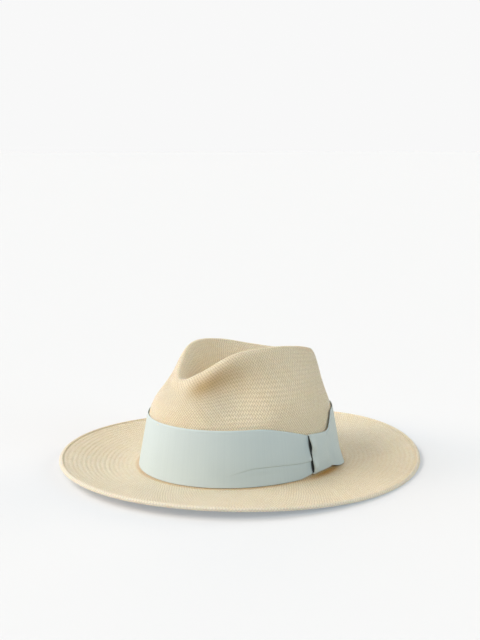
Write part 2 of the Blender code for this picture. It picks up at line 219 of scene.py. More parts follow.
def spaced_value(values, angle, mirror):
    """Smooth values at angles, from values evenly spaced from front to back.

    The right half mirrors the left one: mirror is 1 for a height and -1 for a width.
    """
    turn = angle % tau
    side = np.where(turn <= pi, 1.0, mirror)
    place = np.minimum(turn, tau - turn) / pi * (len(values) - 1)
    padded = np.array([mirror * values[1], *values, mirror * values[-2]])
    i = np.minimum(place.astype(int), len(values) - 2)
    before, start, end, after = (padded[i + k] for k in range(4))
    u = place - i
    slope_in = (end - before) / 2
    slope_out = (after - start) / 2
    cubic = 2 * (start - end) + slope_in + slope_out
    square = 3 * (end - start) - 2 * slope_in - slope_out
    return side * (start + u * (slope_in + u * (square + u * cubic)))


def ridge_point(angle):
    """Points of the crease's ridge, the highest line round the dent."""
    half_width = spaced_value(RIDGE_WIDTHS, angle, -1)
    height = spaced_value(RIDGE_HEIGHTS, angle, 1)
    back = (1 - np.cos(angle)) / 2
    lean = np.sin(angle) * (RIDGE_LEAN[0] * back + RIDGE_LEAN[1])
    along = CROWN_Y - RIDGE_FRONT + (RIDGE_FRONT + RIDGE_BACK) * back
    return np.stack([half_width, along, height + lean], axis=-1)


def ridge_out(angle):
    """The level directions that point away from the dent at ridge points."""
    step = radians(2)
    along = ridge_point(angle + step) - ridge_point(angle - step)
    return unit(np.stack([along[..., 1], -along[..., 0], 0 * angle], axis=-1))


def wall_point(angle, height, out=0.0):
    """Points on the crown's straight lower wall, or a little way out from it."""
    shrink = TAPER * height
    return oval(angle, CROWN_A - shrink + out, CROWN_B - shrink + out, height, CROWN_Y)


def turn_from(angle, start):
    """The turn round the hat from a start to an angle, from -pi to pi."""
    return (angle - start + pi) % tau - pi


def bell(value, centre, width):
    """1 at the centre, falling smoothly to 0 away from it."""
    return np.exp(-(((value - centre) / width) ** 2))


def dent(angle, depth, centre, before, after):
    """Depth of a rounded dent in the crown at each angle, as a column."""
    away = turn_from(angle, centre)
    return (depth * bell(away, 0.0, np.where(away < 0, before, after)))[..., None]


def control_rings(angle):
    """The straw body's control points at each angle, from edge to dent."""
    up = np.array([0.0, 0.0, 1.0])
    base = wall_point(angle, STRAW)
    edge = oval(angle, BRIM_A, BRIM_B, 0.0)
    waves = [w * np.cos((i + 1) * angle) for i, w in enumerate(EDGE_WAVES)]
    edge_top = EDGE_HEIGHT + sum(waves)
    flat = BRIM_STEPS[-1]
    points = []
    for fraction in BRIM_STEPS:
        place = base + (edge - base) * fraction
        rise = max(0.0, (fraction - flat) / (1 - flat)) ** BRIM_CURL
        place[..., 2] = STRAW + (edge_top - STRAW) * rise
        points.append(place)
    points += [wall_point(angle, STRAW, out) for out in BREAK_RINGS]
    points.append(base)
    points += [wall_point(angle, height) for height in WALL_HEIGHTS]

    lower, upper = (dent(angle, *LEFT_PINCH[i]) + dent(angle, *RIGHT_PINCH[i]) for i in (0, 1))
    inward = np.stack([-np.sin(angle), np.cos(angle), 0 * angle], axis=-1)
    half_width, half_length, height, shift = PINCH_RING
    ring = oval(angle, half_width, half_length, height, CROWN_Y + shift)

    ridge = ridge_point(angle)
    out = ridge_out(angle)
    shoulder = ridge + out * SHOULDER[0] - up * SHOULDER[1]
    halfway = (ring + shoulder) / 2
    front, back, floor, rise = DENT_FLOOR
    along = (1 - np.cos(angle)) / 2
    place = CROWN_Y + front + (back - front) * along
    spine = np.stack([0 * angle, place, floor + rise * along], axis=-1)
    wall = ridge - out * DENT_WALL[0] - up * DENT_WALL[1]
    wall[..., 2] = np.maximum(wall[..., 2], spine[..., 2] + 0.002)
    points += [ring + lower * inward, halfway + upper * inward, shoulder]
    points += [ridge + out * CREST, ridge - out * CREST]
    points += [wall + (spine - wall) * 0.4, spine]
    return np.stack(points, axis=1)


def hat_surface(angle, t):
    """Points of the straw's outer surface: shape (angles, places, 3).

    The surface is a cubic B-spline over the control rings, and t counts rings from the edge.
    """
    rings = control_rings(angle)
    other_side = control_rings(-angle)
    start = 2 * rings[:, :1] - rings[:, 1:2]
    padded = np.concatenate([start, rings, other_side[:, -2:-1], other_side[:, -3:-2]], axis=1)
    i = np.minimum(t.astype(int), rings.shape[1] - 1)
    u = t - i
    early = 3 * u ** 3 - 6 * u ** 2 + 4
    late = -3 * u ** 3 + 3 * u ** 2 + 3 * u + 1
    weights = ((1 - u) ** 3, early, late, u ** 3)
    return sum(w[None, :, None] / 6 * padded[:, i + k] for k, w in enumerate(weights))


def circle(count):
    """Angles evenly spaced round a full turn."""
    return np.linspace(0.0, tau, count, endpoint=False)


def unit(vectors):
    """The same directions, one metre long."""
    return vectors / np.maximum(np.linalg.norm(vectors, axis=-1, keepdims=True), 1e-12)


def smooth(low, high, value):
    """0 below low, 1 above high, and a smooth rise between."""
    u = np.clip((value - low) / (high - low), 0.0, 1.0)
    return u * u * (3 - 2 * u)


def edge_frame(angle):
    """Centres of the turned edge's roll, with its outward and upward directions."""
    near = hat_surface(angle, np.array([0.0, 0.3]))
    edge = near[:, 0]
    out = unit(edge - near[:, 1])
    step = 0.01
    ahead, behind = (hat_surface(angle + turn, np.zeros(1))[:, 0] for turn in (step, -step))
    up = unit(np.cross(out, ahead - behind))
    return edge - up * HEM_RADIUS - out * HEM_RADIUS, out, up


# ---- meshes

def grid_mesh(name, grids, ring=False):
    """A mesh over grids of points whose rows wrap round, and in a ring the columns too.

    Each grid comes with its UV maps, which have one more column than the points.
    """
    verts, faces, found = [], [], {}
    for points, maps in grids:
        rows, columns = points.shape[:2]
        i, j = np.meshgrid(np.arange(rows - (not ring)), np.arange(columns), indexing="ij")
        corners = [(i, j), (i + 1, j), (i + 1, j + 1), (i, j + 1)]
        here = [a % rows * columns + b % columns for a, b in corners]
        faces.append(np.stack(here, axis=-1).reshape(-1, 4) + sum(len(v) for v in verts))
        verts.append(points.reshape(-1, 3))
        for map_name, values in maps.items():
            at_corners = np.stack([values[a, b] for a, b in corners], axis=-2)
            found.setdefault(map_name, []).append(at_corners.reshape(-1))
    mesh = bpy.data.meshes.new(name)
    mesh.from_pydata(np.concatenate(verts).tolist(), [], np.concatenate(faces).tolist())
    for map_name, values in found.items():
        layer = mesh.uv_layers.new(name=map_name)
        layer.data.foreach_set("uv", np.concatenate(values).astype(np.float32))
    return mesh


def finish_mesh(mesh, merge=0.0, cap_holes=False, sharp=50):
    """Merge doubled points, close open ends, face outwards and shade smoothly."""
    bm = bmesh.new()
    bm.from_mesh(mesh)
    if merge:
        bmesh.ops.remove_doubles(bm, verts=bm.verts, dist=merge)
    if cap_holes:
        bmesh.ops.holes_fill(bm, edges=[e for e in bm.edges if e.is_boundary], sides=0)
    bmesh.ops.recalc_face_normals(bm, faces=bm.faces)
    bm.to_mesh(mesh)
    bm.free()
    mesh.shade_smooth()
    mesh.set_sharp_from_angle(angle=radians(sharp))


def add_object(name, data):
    """A new object in the scene."""
    thing = bpy.data.objects.new(name, data)
    bpy.context.scene.collection.objects.link(thing)
    return thing


def add_piece(name, mesh, material, slot, *nodes):
    """A piece of the hat that rides on the root and replaces CAD nodes."""
    mesh.materials.append(material)
    piece = add_object(name, mesh)
    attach(piece, "root")
    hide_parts(*nodes)
    return piece


def add_strips(name, grids, material, slot, node, sharp=50):
    """A piece made of strips or threads with closed ends."""
    mesh = grid_mesh(name, grids)
    finish_mesh(mesh, cap_holes=True, sharp=sharp)
    return add_piece(name, mesh, material, slot, node)


def along_path(points):
    """Distance along a path of points, from its start."""
    steps = np.linalg.norm(np.diff(points, axis=0), axis=-1)
    return np.concatenate([[0.0], np.cumsum(steps)])


# ---- materials

class Graph:
    """A material's node tree, with short calls for its nodes."""

    def __init__(self, name):
        self.material = bpy.data.materials.new(name)
        self.material.use_nodes = True
        self.nodes = self.material.node_tree.nodes
        self.links = self.material.node_tree.links
        self.shader = self.nodes["Principled BSDF"]

    def put(self, socket, value):
        """Link an output to a socket, or set the socket to a number or colour."""
        if isinstance(value, bpy.types.NodeSocket):
            self.links.new(value, socket)
        else:
            socket.default_value = value

    def set(self, **values):
        """Set or link the shader's sockets; words in a socket's name are joined by _."""
        for name, value in values.items():
            self.put(self.shader.inputs[name.replace("_", " ")], value)

    def fill(self, node, *values):
        """Fill a node's sockets in order, and give its output."""
        for socket, value in zip(node.inputs, values):
            self.put(socket, value)
        return node.outputs[0]

    def math(self, operation, *values):
        node = self.nodes.new("ShaderNodeMath")
        node.operation = operation
        return self.fill(node, *values)

    def times(self, first, second):
        return self.math("MULTIPLY", first, second)

    def plus(self, first, second):
        return self.math("ADD", first, second)

    def uv(self, name):
        """The two coordinates of a UV map."""
        node = self.nodes.new("ShaderNodeUVMap")
        node.uv_map = name
        split = self.nodes.new("ShaderNodeSeparateXYZ")
        self.links.new(node.outputs[0], split.inputs[0])
        return split.outputs[0], split.outputs[1]

    def place(self):
        """The point's place in the object."""
        return self.nodes.new("ShaderNodeTexCoord").outputs["Object"]

    def vector(self, x, y, z=0.0):
        return self.fill(self.nodes.new("ShaderNodeCombineXYZ"), x, y, z)

    def noise(self, vector, scale, detail=2.0):
        """Smooth noise about 0.5."""
        node = self.nodes.new("ShaderNodeTexNoise")
        self.put(node.inputs["Vector"], vector)
        node.inputs["Scale"].default_value = scale
        node.inputs["Detail"].default_value = detail
        return node.outputs[0]

    def scatter(self, vector):
        """A random number for each whole-numbered place."""
        node = self.nodes.new("ShaderNodeTexWhiteNoise")
        node.noise_dimensions = "2D"
        self.put(node.inputs["Vector"], vector)
        return node.outputs[0]

    def scale(self, value, low, high, to_low=0.0, to_high=1.0):
        """Carry a range of values over to another, held at its ends."""
        node = self.nodes.new("ShaderNodeMapRange")
        node.interpolation_type = "SMOOTHSTEP"
        return self.fill(node, value, low, high, to_low, to_high)

    def mix(self, share, first, second):
        """A colour between two colours."""
        node = self.nodes.new("ShaderNodeMix")
        node.data_type = "RGBA"
        colours = [s for s in node.inputs if s.type == "RGBA"]
        self.put(node.inputs[0], share)
        for socket, colour in zip(colours, (first, second)):
            self.put(socket, (*colour, 1.0) if isinstance(colour, tuple) else colour)
        return next(s for s in node.outputs if s.type == "RGBA")

    def blend(self, share, first, second):
        """A number between two numbers."""
        rest = self.times(self.math("SUBTRACT", 1.0, share), first)
        return self.plus(rest, self.times(share, second))

    def bump(self, height, depth, strength=1.0, under=None):
        """The normal of a relief that is depth metres deep."""
        node = self.nodes.new("ShaderNodeBump")
        node.inputs["Strength"].default_value = strength
        node.inputs["Distance"].default_value = depth
        self.put(node.inputs["Height"], height)
        if under is not None:
            self.put(node.inputs["Normal"], under)
        return node.outputs[0]


def arch(g, value, power=1.0):
    """A rounded hump over a value from 0 to 1."""
    hump = g.math("SINE", g.times(value, pi))
    return g.math("POWER", g.math("MAXIMUM", hump, 0.0), power)


def ribs(g, value, pitch, power):
    """A row of rounded humps along a distance, one to each pitch."""
    return arch(g, g.math("FRACT", g.times(value, 1 / pitch)), power)


def straw_material():
    """Crossing pairs of flat straw strands, each with its own tint and fine fibres."""
    g = Graph("woven_straw")
    around, row = g.uv("weave")
    strands, _ = g.uv("count")
    shade_paint, painted_brown = g.uv("shade_paint")
    place = g.place()
    drift = g.times(g.math("SUBTRACT", g.noise(place, 60.0), 0.5), 0.5)
    sway = g.times(g.math("SUBTRACT", g.noise(place, 110.0), 0.5), 0.3)
    across = g.plus(g.times(around, strands), drift)
    rise = g.plus(row, sway)
    first = g.plus(across, rise)
    second = g.math("SUBTRACT", across, rise)
    first_index, second_index = (g.math("FLOOR", value) for value in (first, second))
    first_part, second_part = (g.math("FRACT", value) for value in (first, second))
    on_top = g.math("FLOORED_MODULO", g.plus(first_index, second_index), 2.0)

    crosswise = g.blend(on_top, first_part, second_part)
    lengthwise = g.blend(on_top, second_part, first_part)
    first_strand = g.math("FLOORED_MODULO", first_index, strands)
    second_strand = g.math("FLOORED_MODULO", second_index, strands)
    strand = g.blend(on_top, first_strand, g.plus(second_strand, 0.5))
    pair = g.times(crosswise, 2.0)
    flat = arch(g, g.math("FRACT", pair), 0.35)
    crossing = arch(g, lengthwise, 0.7)
    height = g.times(crossing, g.plus(0.55, g.times(flat, 0.45)))

    band = g.times(strands, 0.37)
    tint = g.scatter(g.vector(strand, g.plus(g.math("FLOOR", pair), band)))
    fibres = g.noise(g.vector(g.times(crosswise, 26.0), first, second), 1.0, 3.0)
    patches = g.noise(place, 14.0)
    colour = g.mix(g.times(tint, 0.4), STRAW_LIGHT, STRAW_TAN)
    colour = g.mix(g.scale(fibres, 0.35, 0.75, 0.0, 0.2), colour, STRAW_TAN)
    colour = g.mix(g.scale(patches, 0.35, 0.75, 0.0, 0.1), colour, STRAW_TAN)
    # painted shade: tan in the pinches and dent
    colour = g.mix(shade_paint, colour, STRAW_PAINTED_TAN)
    # painted shade: brown below the keeper and below the ribbon
    colour = g.mix(painted_brown, colour, STRAW_PAINTED_BROWN)
    # painted shade in the gaps between the strands, darkest where the weave sits lowest
    gap = g.scale(height, 0.08, 0.72, 0.8, 0.0)
    colour = g.mix(gap, colour, STRAW_GAP_SHADE)
    colour = g.mix(g.scale(row, 0.3, 0.5, 0.5, 0.0), colour, STRAW_EDGE)
    g.set(Base_Color=colour, Specular_IOR_Level=0.45)
    g.set(Subsurface_Weight=0.3, Subsurface_Scale=0.0004, Subsurface_Radius=(1.0, 0.55, 0.25))
    g.set(Sheen_Weight=0.12, Sheen_Roughness=0.4)
    g.set(Roughness=g.scale(tint, 0.0, 1.0, 0.42, 0.58))
    g.set(Normal=g.bump(height, 0.0007))
    return g.material


def ribbon_material():
    """Grosgrain: fine ribs bound by thin threads, with painted shade where the keeper's front
    edge overhangs it.
    """
    g = Graph("grosgrain_ribbon")
    along, across = g.uv("cloth")
    place = g.place()
    rib_place = g.times(along, 1 / RIB_PITCH)
    rib = arch(g, g.math("FRACT", rib_place), 0.6)
    thread = ribs(g, across, THREAD_PITCH, 0.5)
    tint = g.scatter(g.vector(g.math("FLOOR", rib_place), 0.0))
    patches = g.noise(place, 22.0)
    colour = g.mix(g.times(tint, 0.15), RIBBON_LIGHT, RIBBON_DARK)
    colour = g.mix(g.scale(rib, 0.0, 0.6, 0.25, 0.0), colour, RIBBON_DARK)
    colour = g.mix(g.scale(patches, 0.35, 0.7, 0.0, 0.12), colour, RIBBON_DARK)
    # painted shade on the ribbon where it runs under the keeper's front edge
    colour = g.mix(g.uv("slit_shade")[0], colour, RIBBON_SLIT_SHADE)
    height = g.plus(g.times(rib, 0.8), g.times(thread, 0.2))
    fuzz = g.noise(place, 2600.0)
    g.set(Base_Color=colour, Specular_IOR_Level=0.25)
    g.set(Sheen_Weight=0.25, Sheen_Roughness=0.45)
    g.set(Roughness=g.scale(fuzz, 0.3, 0.7, 0.7, 0.85))
    g.set(Normal=g.bump(g.plus(height, g.times(fuzz, 0.3)), 0.00012))
    return g.material


def leather_material():
    """Smooth pale leather with a fine pebbled grain and soft dark creases."""
    g = Graph("sweatband_leather")
    place = g.place()
    cells = g.nodes.new("ShaderNodeTexVoronoi")
    cells.feature = "SMOOTH_F1"
    cells.inputs["Scale"].default_value = 1100.0
    g.put(cells.inputs["Vector"], place)
    grain = g.scale(cells.outputs["Distance"], 0.1, 0.8, 1.0, 0.0)
    creases = g.noise(place, 160.0, 6.0)
    wear = g.noise(place, 25.0, 3.0)
    colour = g.mix(g.scale(creases, 0.4, 0.75, 0.0, 0.4), LEATHER_LIGHT, LEATHER_DARK)
    colour = g.mix(g.scale(wear, 0.35, 0.75, 0.0, 0.25), colour, LEATHER_DARK)
    colour = g.mix(g.scale(grain, 0.0, 0.5, 0.35, 0.0), colour, LEATHER_DARK)
    g.set(Base_Color=colour, Roughness=g.scale(creases, 0.3, 0.7, 0.42, 0.6))
    height = g.plus(grain, g.times(creases, 0.6))
    g.set(Normal=g.bump(height, 0.00008))
    return g.material


def thread_material():
    """Two-ply sewing thread, with the plies turning along it."""
    g = Graph("sewing_thread")
    along, round_it = g.uv("cloth")
    twist = g.times(round_it, 2.0)
    turns = g.plus(g.times(along, 1 / PLY_PITCH), twist)
    ply = arch(g, g.math("FRACT", turns), 0.6)
    colour = g.mix(g.scale(ply, 0.0, 0.7, 0.55, 0.0), THREAD_LIGHT, THREAD_DARK)
    g.set(Base_Color=colour, Roughness=0.6, Sheen_Weight=0.2)
    g.set(Normal=g.bump(ply, 0.00006))
    return g.material


def tab_material():
    """Plain woven cotton tape, blank."""
    g = Graph("cotton_tape")
    along, across = g.uv("cloth")
    height = g.times(ribs(g, along, TAPE_PITCH, 0.7), ribs(g, across, TAPE_PITCH, 0.7))
    colour = g.mix(g.scale(height, 0.0, 0.6, 0.5, 0.0), TAPE_LIGHT, TAPE_DARK)
    g.set(Base_Color=colour, Roughness=0.85, Sheen_Weight=0.2)
    g.set(Normal=g.bump(height, 0.00008))
    return g.material


def wire_material():
    """Drawn steel wire with fine marks along it."""
    g = Graph("steel_wire")
    marks = g.noise(g.place(), 1800.0, 3.0)
    g.set(Base_Color=g.mix(marks, WIRE_LIGHT, WIRE_DARK), Metallic=1.0)
    g.set(Roughness=g.scale(marks, 0.3, 0.7, 0.25, 0.45), Normal=g.bump(marks, 0.00002))
    return g.material


# ---- straw body

def row_distance(row):
    """Distance in from the brim's edge to a weave row."""
    on_brim = np.minimum(row, BRIM_ROWS) * BRIM_ROW
    return on_brim + np.maximum(row - BRIM_ROWS, 0.0) * CROWN_ROW


def distance_row(distance):
    """The weave row at a distance in from the brim's edge."""
    brim = BRIM_ROWS * BRIM_ROW
    on_brim = np.minimum(distance, brim) / BRIM_ROW
    return on_brim + np.maximum(distance - brim, 0.0) / CROWN_ROW


def strand_counts(rows, lengths):
    """Strands across each whole row of the weave, kept until the ring changes by a tenth."""
    counts = {}
    held = None
    for row in range(int(np.floor(rows.min())), int(np.ceil(rows.max()))):
        length = np.interp(row + 0.5, rows, lengths)
        if held is None or abs(length / held - 1) > 0.1:
            held = length
        counts[row] = round(held / STRAND_PITCH)
    return counts


def grid_normals(points):
    """Outward normals over the straw's grid, whose last ring meets itself along the dent."""
    ahead = np.roll(points, -1, axis=1)
    diagonal = ahead[1:] - points[:-1]
    other = points[1:] - ahead[:-1]
    facing = np.cross(diagonal, other)
    facing = facing + np.roll(facing, 1, axis=1)
    normals = np.zeros_like(points)
    normals[:-1] += facing
    normals[1:] += facing
    normals[-1] += normals[-1][(-np.arange(points.shape[1])) % points.shape[1]]
    return unit(normals)


def straw_relief(row, angle):
    """How far the woven rings stand out, unevenly, and not at all on the crown."""
    ring = 0.5 - 0.5 * np.cos(tau * row)
    whole = np.floor(row)
    uneven = 1 + 0.35 * np.sin(3 * angle + 1.9 * whole) * np.sin(5 * angle + 0.7 * whole)
    strength = 1 - smooth(BRIM_ROWS - 6, BRIM_ROWS - 1, row)
    return RING_RELIEF * ring * uneven * strength


def hem_relief(distance):
    """The doubled edge stands a little proud on top, with a groove where it is sewn."""
    edge = smooth(0.0, 0.0015, distance)
    doubled = HEM_DOUBLED * edge * (1 - smooth(HEM_SEAM - 0.0009, HEM_SEAM, distance))
    depth, width = HEM_GROOVE
    return doubled - depth * bell(distance, HEM_SEAM, width)


def straw_painted_shade(angle, t):
    """How much painted shade the straw gets: tan in the pinches and dent, brown below the ribbon
    and keeper.
    """
    pinch_shade = (dent(angle, *SHADE_LEFT_PINCH) + dent(angle, *SHADE_RIGHT_PINCH)) * bell(t, *SHADE_PINCH_RING)
    tan_shade = np.clip(pinch_shade + 0.4 * smooth(*SHADE_DENT_RINGS, t), 0.0, 1.0)
    brown_shade = dent(angle, *SHADE_BY_KEEPER) * bell(t, *SHADE_KEEPER_RING)
    brown_shade = np.maximum(brown_shade, 0.5 * bell(t, *SHADOW_LINE_BELOW_RIBBON))
    return np.stack([tan_shade, brown_shade], axis=-1)


def straw_places():
    """Rows of points from the turned edge to the dent's floor, as weave rows and as rings."""
    t = np.linspace(0.0, LAST_RING, 1801)
    angles = circle(48)
    steps = np.linalg.norm(np.diff(hat_surface(angles, t), axis=1), axis=-1).mean(axis=0)
    distance = np.concatenate([[0.0], np.cumsum(steps)])
    first_row = HEM_RADIUS * 1.1 / BRIM_ROW
    last_row = distance_row(distance[-1])
    brim = np.arange(np.ceil(first_row * 8) / 8, BRIM_ROWS, 1 / 8)
    seam = (HEM_SEAM + 0.0003 * np.arange(-3, 4)) / BRIM_ROW
    crown = np.arange(BRIM_ROWS, last_row - 0.2, 1 / 2)
    rows = np.unique(np.round(np.concatenate([brim, seam, crown, [last_row]]), 4))
    return rows, np.interp(row_distance(rows), distance, t)


def turned_edge(angles):
    """Rings of the flap under the brim and of the half round up over the edge."""
    centre, out, up = edge_frame(angles)
    rings, rows = [], []
    for flap in np.linspace(HEM_FLAP, 0.0, FLAP_STEPS + 1)[:-1]:
        rings.append(centre - up * HEM_RADIUS - out * flap)
        rows.append((HEM_RADIUS - pi * HEM_RADIUS - flap) / BRIM_ROW)
    for turn in np.linspace(pi, 0.0, ROLL_STEPS):
        rings.append(centre + HEM_RADIUS * (out * np.sin(turn) + up * np.cos(turn)))
        rows.append((HEM_RADIUS - turn * HEM_RADIUS) / BRIM_ROW)
    return np.stack(rings), np.array(rows)


def build_straw(material):
    """Brim and crown, woven in one piece: outer face, inner face and the turned edge."""
    angles = circle(COLUMNS)
    rows, places = straw_places()
    edge, edge_rows = turned_edge(angles)
    face = np.swapaxes(hat_surface(angles, places), 0, 1)
    outer = np.concatenate([edge, face])
    rows = np.concatenate([edge_rows, rows])
    normals = grid_normals(outer)
    distance = row_distance(rows)

    closed = np.concatenate([outer, outer[:, :1]], axis=1)
    steps = np.linalg.norm(np.diff(closed, axis=1), axis=-1)
    lengths = steps.sum(axis=1)
    share = np.concatenate([np.zeros((len(rows), 1)), np.cumsum(steps, axis=1)], axis=1)
    share /= lengths[:, None]
    counts = strand_counts(rows, lengths)

    relief = straw_relief(rows[:, None], angles[None, :])
    relief = relief + hem_relief(distance)[:, None] * (rows > edge_rows[-1])[:, None]
    on_flap = distance < -0.002
    relief[on_flap] *= 0.3
    relief[-1] = 0.0
    keep = inner_rows(rows)
    inner = outer - normals * (STRAW + INNER_RELIEF * relief[..., None])
    outer = outer + normals * relief[..., None]

    order = np.concatenate([np.flatnonzero(keep)[::-1], np.arange(len(rows))])
    points = np.concatenate([inner[keep][::-1], outer])
    weave = np.stack([share[order], np.repeat(rows[order, None], COLUMNS + 1, axis=1)], axis=-1)
    between = np.floor((rows[order][1:] + rows[order][:-1]) / 2).astype(int)
    ring = np.concatenate([np.zeros(len(edge_rows)), places])[order]
    around = np.linspace(0.0, tau, COLUMNS + 1)
    # painted shade on the straw: tan in the pinches and dent, brown below the ribbon
    shade_paint = np.swapaxes(straw_painted_shade(around, ring), 0, 1)
    # the painted brown shade also shows, weaker, on the inner face
    shade_paint[:np.count_nonzero(keep), :, 1] *= SHADE_THROUGH
    mesh = grid_mesh("straw_weave", [(points, {"weave": weave, "shade_paint": shade_paint})])
    layer = mesh.uv_layers.new(name="count")
    strands = np.array([counts[k] for k in np.clip(between, min(counts), max(counts))])
    values = np.zeros((len(between), COLUMNS * 4, 2), np.float32)
    values[..., 0] = strands[:, None]
    layer.data.foreach_set("uv", values.ravel())
    finish_mesh(mesh, merge=1e-6, sharp=60)
    return add_piece("straw_weave", mesh, material, "straw", "straw_body")


def inner_rows(rows):
    """Which of the outer face's rows the inner face has too: fewer, away from the edge."""
    step = np.where(rows >= BRIM_ROWS, 1.0, 0.25)
    even = np.abs(rows / step - np.round(rows / step)) < 1e-3
    at_edge = rows <= rows[FLAP_STEPS + ROLL_STEPS + 1]
    return even | at_edge | (rows == rows[-1])


# ---- ribbon and keeper

def gather(angle, reach):
    """How much the ribbon is drawn in: 1 under the keeper, 0 beyond its reach each way."""
    turn = turn_from(angle, KEEPER_ANGLE)
    away = np.maximum(np.abs(turn) - KEEPER_HALF, 0.0)
    before = np.clip(1 - away / reach[0], 0.0, 1.0) ** 1.5
    return np.where(turn < 0, before, 1 - smooth(0.0, reach[1], away))


def ribbon_edges(angle):
    """Heights of the ribbon's bottom and top edges."""
    bottom = RIBBON_Z[0] + RIBBON_GATHER[0] * gather(angle, GATHER_BOTTOM)
    top = RIBBON_Z[1] - RIBBON_GATHER[1] * gather(angle, GATHER_TOP)
    turn = turn_from(angle, KEEPER_ANGLE)
    tilt = 0.0023 * smooth(-KEEPER_HALF, KEEPER_HALF, turn)
    return bottom, top - tilt * gather(angle, GATHER_TOP)


def ribbon_lift(angle, height):
    """How far the ribbon's inner face stands off the straw."""
    share = (height - RIBBON_Z[0]) / (RIBBON_Z[1] - RIBBON_Z[0])
    lift = RIBBON_LIFT[0] + (RIBBON_LIFT[1] - RIBBON_LIFT[0]) * share
    flare = bell(turn_from(angle, FLARE_ANGLE), 0.0, FLARE_SPREAD)
    return lift + RIBBON_FLARE * flare * (1 - share) ** 2


def ahead_of_keeper(angle):
    """How far along the ribbon a point is ahead of the keeper's front edge."""
    return turn_from(KEEPER_ANGLE - KEEPER_HALF, angle) * CROWN_B * 0.95


def pleat_height(angle):
    """Height of the pleat that runs into the keeper, lower again further on."""
    ahead = ahead_of_keeper(angle)
    near = PLEAT_Z - 0.0024 * (1 - smooth(0.0, 0.045, ahead))
    return near - 0.0070 * smooth(0.055, 0.095, ahead)


def ribbon_folds(angle, height):
    """How far folds and gathers lift the ribbon's outer face off plain cloth."""
    ahead = ahead_of_keeper(angle)
    low, high = ribbon_edges(angle)
    over = height - pleat_height(angle)
    in_front = smooth(-0.002, 0.002, ahead)
    pleat = in_front * (1 - smooth(*PLEAT_END, ahead))
    fall = 1 - 0.6 * smooth(0.004, 0.020, over)
    layer = PLEAT_LAYER * smooth(-0.0004, 0.0003, over) * fall
    tuck = TUCK[0] * bell(over, *TUCK[1:])
    crease = LOWER_CREASE[0] * bell(over, *LOWER_CREASE[1:]) * smooth(0.004, 0.02, ahead)
    upper = UPPER_CREASE[0] * bell(over, *UPPER_CREASE[1:]) * (1 - smooth(0.0, 0.03, ahead))
    folds = pleat * (layer + tuck + crease + upper)
    share = (height - low) / (high - low)
    near = np.exp(-np.maximum(ahead, 0.0) / 0.010) * in_front
    folds = folds + 0.00022 * near * np.sin(tau * (2.3 * share + 0.1))
    touching = bell(height, 0.0175, 0.0028) + 0.6 * bell(height, low, 0.002)
    folds = folds + 0.0011 * touching * bell(ahead, 0.0, 0.0035)
    sliver = smooth(0.0, 0.0006, 0.0005 + (height - 0.0266) * 0.36 - ahead) * in_front
    folds = folds - 0.00035 * sliver * smooth(0.0255, 0.030, height)
    behind = smooth(0.030, 0.034, -ahead) * (1 - smooth(0.045, 0.075, -ahead))
    folds = folds + 0.00030 * behind * np.sin(tau * (1.6 * share - 18.0 * ahead))
    return folds + 0.00010 * np.sin(7 * angle + 1.3) * np.sin(pi * share)


def strip_outline(angle, heights, inner, outer):
    """Closed outlines of a strip on the crown's wall, with rounded edges."""
    inside = wall_point(angle, heights, inner)
    outside = wall_point(angle, heights, outer)
    thick = (outer - inner)[..., None]
    down = unit(inside[:, :1] - inside[:, 1:2])
    low = (inside[:, :1] + outside[:, :1]) / 2 + down * 0.35 * thick[:, :1]
    high = (inside[:, -1:] + outside[:, -1:]) / 2 - down * 0.35 * thick[:, -1:]
    return np.concatenate([inside, high, outside[:, ::-1], low], axis=1)


def cloth_map(points):
    """A UV map in metres: along the strip, and round its outline."""
    along = along_path(points.mean(axis=1))
    closed = np.concatenate([points, points[:, :1]], axis=1)
    around = along_path(closed[len(points) // 2])
    return np.stack(np.meshgrid(along, around, indexing="ij"), axis=-1)


def ribbon_angles():
    """Angles of the ribbon's sections, close together near the keeper."""
    start = KEEPER_ANGLE + RIBBON_SLIT
    end = start + tau - 2 * RIBBON_SLIT
    dense_back = np.arange(start, start + radians(50), radians(0.35))
    dense_front = np.arange(end - radians(70), end, radians(0.3))
    plain = np.arange(start + radians(50), end - radians(70), radians(1.0))
    return np.concatenate([dense_back, plain, dense_front, [end]])


def build_ribbon(material):
    """The band round the crown, its ends meeting under the keeper."""
    angle = ribbon_angles()[:, None]
    low, high = ribbon_edges(angle)
    pleat = (pleat_height(angle) - low) / (high - low)
    half = 0.0007 / (high - low)
    below = np.linspace(0.0, 1.0, 12)[None, :-1] * (pleat - half)
    at_pleat = pleat + half * np.linspace(-1.0, 1.0, 8)[None, :]
    above = pleat + half + np.linspace(0.0, 1.0, 25)[None, 1:] * (1 - pleat - half)
    share = np.concatenate([below, at_pleat, above], axis=1)
    heights = low + (high - low) * share
    ahead = ahead_of_keeper(angle)
    under = smooth(-0.0025, 0.0008, -ahead) * (1 - smooth(0.0235, 0.0275, -ahead))
    lift = ribbon_lift(angle, heights) * (1 - 0.75 * under)
    top_gap = FREE_GAP * smooth(0.75, 1.0, share) * smooth(0.028, 0.034, -ahead)
    lift = lift + top_gap * (1 - smooth(0.040, 0.062, -ahead))
    outer = lift + RIBBON_THICK + ribbon_folds(angle, heights)
    points = strip_outline(angle, heights, lift, outer)
    # painted shade on the ribbon just under the keeper's front edge
    slit_shade = smooth(-0.0008, 0.0003, -ahead) * (1 - smooth(0.023, 0.025, -ahead))
    slit_shade = np.tile(slit_shade[..., None], (1, points.shape[1] + 1, 2))
    maps = {"cloth": cloth_map(points), "slit_shade": slit_shade}
    return add_strips("ribbon_cloth", [(points, maps)], material, "ribbon", "hat_ribbon", 55)


